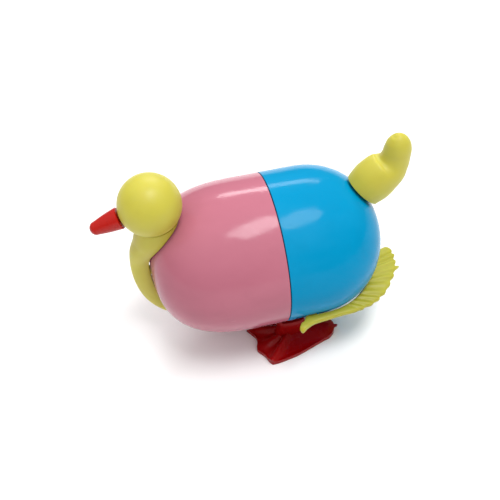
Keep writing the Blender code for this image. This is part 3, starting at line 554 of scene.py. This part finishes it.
def wing_section(inner, edge, thick, groove, drop):
    """One cross-section of the blade, rounded at both edges, its top lowered in the grooves."""
    across = 26
    ring = []
    for j in range(across * 2):
        a = math.pi * j / across
        v = 0.5 - 0.5 * math.copysign(abs(math.cos(a)) ** 0.62, math.cos(a))
        z = thick * math.copysign(abs(math.sin(a)) ** 0.5, math.sin(a))
        if z > 0:
            z *= 1 - groove * min(1.0, v * 1.6)
        p = inner.lerp(edge, v)
        ring.append((p.x, p.y, WING.z + z - drop))
    return ring


def wing():
    """A flat crescent round the rear of the body, with ribs and a scalloped edge on its rear half."""
    keys = [(-3.5, 28.8), (-5.5, 27.6), (-8.2, 26.6), (-12.3, 26.2), (-17.2, 25.8), (-22.0, 25.6),
            (-25.9, 25.1), (-30.0, 24.0), (-33.4, 22.2), (-36.4, 19.8), (-39.3, 16.6), (-42.1, 13.0),
            (-43.8, 9.4), (-44.8, 5.7), (-44.6, 3.1), (-43.9, 1.7), (-42.6, 1.15)]
    blade_start, blade_run = -6.6, 27.4   # where the blade meets the body and how far back it follows it
    hook_keys = [(-2.9, 28.3), (-2.7, 27.2), (-3.6, 25.8), (-5.0, 24.8)]
    hook_keys.append((blade_start, body_line(blade_start)))
    count, ribs = 340, 10
    hook, ribs_from, ribs_to = 0.125, 0.31, 0.88          # shares of the blade's length
    hook_path = smooth_path(hook_keys, int(count * hook) + 1)
    rings = []
    for i, edge in enumerate(smooth_path(keys, count)):
        u = i / (count - 1)
        x = blade_start - blade_run * math.sin(math.pi / 2 * max(0.0, u - hook) / (1 - hook))
        inner = Vector(hook_path[i] if i < len(hook_path) else (x, body_line(x)))
        edge = Vector(edge)
        ribbed = ease(u, ribs_from, ribs_from + 0.1) * (1 - ease(u, ribs_to - 0.04, ribs_to))
        phase = 2 * math.pi * ribs * (u - ribs_from) / (ribs_to - ribs_from) + 0.7 * math.sin(17 * u)
        groove = ribbed * (0.5 - 0.5 * math.cos(phase)) * (0.8 + 0.2 * math.sin(41 * u))
        edge -= (edge - inner).normalized() * 0.75 * groove
        thick = WING_THICK / 2 * min(1.0, 0.45 + 16 * u, 0.6 + 14 * (1 - u))
        rings.append(wing_section(inner, edge, thick, 0.55 * groove, 0.5 * (1 - ease(u, 0.0, 0.06))))
    obj = cut(loft("left_wing_blade", rings), body_end(REAR, (-1, 0, 0)))
    arm = block("arm", (WING.x - 1.6, WING.y, WING_LOW + 0.2), (WING.x + 1.6, WING.y + 5.6, WING_HIGH - 0.2))
    eye = rod("eye", (WING.x, WING.y, WING_LOW + 0.1), (WING.x, WING.y, WING_HIGH - 0.1), 2.2)
    ends = (WING.x, WING.y, WING_LOW - 1), (WING.x, WING.y, WING_HIGH + 1)
    bore = rod("bore", *ends, WING_PIN_R + PEG_FIT)
    return cut(join(obj, arm, eye), bore)


def wings():
    """Both wings: the left one with a moulding spur, the right one with a rounder rear corner."""
    left = wing()
    right = mirrored(left, "right_wing_blade")
    join(left, prism("spur", [(-42.2, 12.2), (-44.0, 11.3), (-44.3, 11.0), (-44.0, 10.8), (-42.2, 10.4)],
                     WING.z - 0.45, WING.z + 0.45))
    cut(right, prism("corner", [(-46.0, -9.5), (-44.2, -7.4), (-43.8, -5.6), (-42.9, -4.0), (-40.9, -1.0),
                                (-46.0, -1.0)], WING_LOW - 1, WING_HIGH + 1))
    dress(left, "left_wing", ["left_wing"], WING_YELLOW)
    dress(right, "right_wing", ["right_wing"], WING_YELLOW)


FOOT_OUTLINE = [(12.0, 8.6), (9.6, 12.4), (9.4, 14.8), (10.2, 18.0), (8.3, 20.8), (6.6, 24.4),
                (5.0, 24.9), (1.0, 24.5), (-4.0, 23.5), (-9.0, 21.9), (-14.0, 20.2),
                (-17.2, 19.2), (-19.2, 17.4), (-20.0, 14.9), (-19.4, 12.9), (-17.6, 11.6),
                (-12.0, 10.9), (-5.0, 9.9), (2.0, 8.9), (8.0, 8.1), (11.0, 7.9)]
TOES = (((12.0, 8.6), 1.7, 0.8), ((9.8, 17.6), 1.9, 0.3), ((6.3, 24.2), 1.6, 1.5))    # tip, width, height
ANKLE = (-4.0, 12.9)
HEEL = (-16.5, 15.3)
WEB_THICK, ANKLE_RISE = 1.25, 2.9
HEEL_RISE, HEEL_WIDTH = 2.1, 4.4
RIM_RISE, RIM_WIDTH = 0.5, 0.8
SHANK = ((0.8, 6.6, 3.2), (2.4, 6.3, 3.0), (4.0, 5.6, 2.8), (6.5, 5.0, 2.72), (9.2, 4.7, 2.7),
         (9.6, 4.5, 2.5))                 # height, half length and half width up the ankle


def distance_to(p, a, b):
    """Distance of a point in the plane from a segment, and how far along the segment it lies."""
    ax, ay = b[0] - a[0], b[1] - a[1]
    t = max(0.0, min(1.0, ((p[0] - a[0]) * ax + (p[1] - a[1]) * ay) / (ax * ax + ay * ay)))
    return math.hypot(p[0] - a[0] - t * ax, p[1] - a[1] - t * ay), t


def edge_distance(p):
    return min(distance_to(p, a, b)[0] for a, b in zip(FOOT_OUTLINE, FOOT_OUTLINE[1:] + FOOT_OUTLINE[:1]))


def foot_height(x, y):
    """Top of the foot over the ground: hollow webs between raised toes, rising to the ankle and heel."""
    height = WEB_THICK
    for tip, width, rise in TOES:
        away, along = distance_to((x, y), ANKLE, tip)
        ridge = ANKLE_RISE - (ANKLE_RISE - rise) * along
        height = max(height, WEB_THICK + ridge * math.exp(-(away / width) ** 2))
    away, along = distance_to((x, y), ANKLE, HEEL)
    height = max(height, WEB_THICK + HEEL_RISE * math.exp(-(away / HEEL_WIDTH) ** 2))
    away = edge_distance((x, y))
    return max(height, WEB_THICK + RIM_RISE * math.exp(-(away / RIM_WIDTH) ** 2))


def foot():
    """The left foot: a height field cut to its outline, with the hollow shank that the lever enters."""
    low = Vector((min(p[0] for p in FOOT_OUTLINE) - 1, min(p[1] for p in FOOT_OUTLINE) - 1))
    high = Vector((max(p[0] for p in FOOT_OUTLINE) + 1, max(p[1] for p in FOOT_OUTLINE) + 1))
    step = 0.4                            # grid of the foot's upper surface
    columns, rows = int((high.x - low.x) / step) + 1, int((high.y - low.y) / step) + 1
    bm = bmesh.new()
    sheets = []
    for on_top in (False, True):
        sheet = []
        for i in range(columns):
            x = low.x + i * step
            column = []
            for j in range(rows):
                y = low.y + j * step
                rise = foot_height(x, y) if on_top else 0.0
                column.append(bm.verts.new(place((x, y, FLOOR_Z + rise))))
            sheet.append(column)
        sheets.append(sheet)
    for sheet in sheets:
        for i in range(columns - 1):
            for j in range(rows - 1):
                bm.faces.new((sheet[i][j], sheet[i + 1][j], sheet[i + 1][j + 1], sheet[i][j + 1]))
    below, above = sheets
    border = [(i, 0) for i in range(columns)]
    border += [(columns - 1, j) for j in range(1, rows)]
    border += [(i, rows - 1) for i in range(columns - 2, -1, -1)]
    border += [(0, j) for j in range(rows - 2, 0, -1)]
    for (i, j), (k, m) in zip(border, border[1:] + border[:1]):
        bm.faces.new((below[i][j], below[k][m], above[k][m], above[i][j]))
    obj = mesh_object("left_foot_webbed", bm)
    outline = [p[:2] for p in smooth_path([(*p, 0) for p in FOOT_OUTLINE + FOOT_OUTLINE[:1]], 150)][:-1]
    combine(obj, prism("outline", outline, FLOOR_Z - 1, FLOOR_Z + 9), "INTERSECT")
    join(obj, prism("spur", [(-19.3, 15.8), (-21.2, 15.3), (-21.4, 15.1), (-21.2, 14.9), (-19.5, 14.4)],
                    FLOOR_Z + 0.5, FLOOR_Z + 1.5))
    x, y = ANKLE
    shank = [[(x + a * math.copysign(abs(math.cos(t)) ** 0.55, math.cos(t)),
               y + b * math.copysign(abs(math.sin(t)) ** 0.55, math.sin(t)), FLOOR_Z + z)
              for t in (2 * math.pi * i / 48 for i in range(48))]
             for z, a, b in SHANK]
    join(obj, loft("shank", shank))
    cut(obj, block("socket", (x - 3.15, y - 1.45, FLOOR_Z + 3.9), (x + 3.15, y + 1.45, FLOOR_Z + 12)))
    return obj


def feet():
    left = foot()
    right = mirrored(left, "right_foot_webbed")
    dress(left, "left_leg", ["left_foot"], FOOT_RED)
    dress(right, "right_leg", ["right_foot"], FOOT_RED)


# ---------------------------------------------------------------- carried-over motor parts

def soften(node):
    """Break a kept CAD piece's sharp edges, as moulding does."""
    bevel = node.modifiers.new("soft_edges", "BEVEL")
    bevel.width = 0.25 * MM
    bevel.segments = 2
    bevel.limit_method = "ANGLE"
    bevel.angle_limit = math.radians(40)


def motor():
    """Dress the pieces that are kept from the CAD: the motor, levers and knob."""
    finishes = {"steel": STEEL, "brass": BRASS, "spring_steel": BLUED, "white_plastic": WHITE,
                "red_plastic": FOOT_RED}
    for part in frame["record"]["subparts"]:
        node = frame["nodes"][part["node"]]
        if node.hide_render:
            continue
        node.data.materials.clear()
        node.data.materials.append(finishes[part["material_slot"]])
        node.data.shade_smooth()
        node.data.set_sharp_from_angle(angle=CREASE)
        if part["material_slot"] in ("white_plastic", "red_plastic"):
            soften(node)


# ---------------------------------------------------------------- floor, light and camera

def floor():
    """A pale ground plane, a hair under the feet."""
    bm = bmesh.new()
    bmesh.ops.create_grid(bm, x_segments=1, y_segments=1, size=3.0)
    mesh = bpy.data.meshes.new("floor")
    bm.to_mesh(mesh)
    bm.free()
    obj = bpy.data.objects.new("floor", mesh)
    obj.location.z = -0.1 * MM
    bpy.context.scene.collection.objects.link(obj)
    mat, _, shader = new_material("pale_floor")
    shader.inputs["Base Color"].default_value = (0.93, 0.93, 0.93, 1)
    shader.inputs["Roughness"].default_value = 0.7
    mesh.materials.append(mat)


def area_light(name, toward, distance, width, height, radiance):
    """A rectangular light seen from the duck in a given direction, with its sides' angles in degrees."""
    data = bpy.data.lights.new(name, "AREA")
    data.shape = "RECTANGLE"
    data.size = 2 * distance * math.tan(math.radians(width / 2))
    data.size_y = 2 * distance * math.tan(math.radians(height / 2))
    data.energy = radiance * math.pi * data.size * data.size_y
    obj = bpy.data.objects.new(name, data)
    back = Vector(toward).normalized()
    obj.location = ORIGIN + back * distance
    obj.rotation_euler = back.to_track_quat("Z", "Y").to_euler()
    bpy.context.scene.collection.objects.link(obj)


def sky():
    """A soft white room: bright above, dimmer towards the walls."""
    world = bpy.data.worlds.new("room")
    world.use_nodes = True
    tree = world.node_tree
    coords = tree.nodes.new("ShaderNodeTexCoord")
    split = tree.nodes.new("ShaderNodeSeparateXYZ")
    tree.links.new(coords.outputs["Generated"], split.inputs["Vector"])
    shade = ramp(tree, split.outputs["Z"], [(0.0, 0.22), (0.35, 0.5), (1.0, 1.75)])
    tree.links.new(shade, tree.nodes["Background"].inputs["Color"])
    tree.nodes["Background"].inputs["Strength"].default_value = 0.77
    bpy.context.scene.world = world


def camera():
    """Looks at the duck's left side from above, from a point given by its angles round the aim."""
    aim, distance = (7.26, 0, 0.5), 206.6
    yaw, pitch, roll = math.radians(11.09), math.radians(48.23), math.radians(-3.3)
    back = Vector((math.sin(yaw) * math.cos(pitch), math.cos(yaw) * math.cos(pitch), math.sin(pitch)))
    level = Vector((-math.cos(yaw), math.sin(yaw), 0))
    up = back.cross(level)
    right = level * math.cos(roll) + up * math.sin(roll)
    up = back.cross(right)
    data = bpy.data.cameras.new("camera")
    data.lens = 43.46
    data.sensor_width = 36.0
    data.clip_start = 0.01
    obj = bpy.data.objects.new("camera", data)
    turn = Matrix((right, up, back)).transposed().to_4x4()
    obj.matrix_world = Matrix.Translation(place(aim) + back * distance * MM) @ turn
    bpy.context.scene.collection.objects.link(obj)
    bpy.context.scene.camera = obj


camera()
sky()
floor()
area_light("overhead", (-0.17, 0.17, 0.97), 0.9, 24, 16, 15.0)
area_light("window", (-0.23, -0.78, 0.58), 1.0, 27, 8.5, 13.0)
bpy.context.scene.view_settings.view_transform = "Standard"

front_shell()
rear_shell()
head()
beak()
neck()
tail()
wings()
feet()
motor()
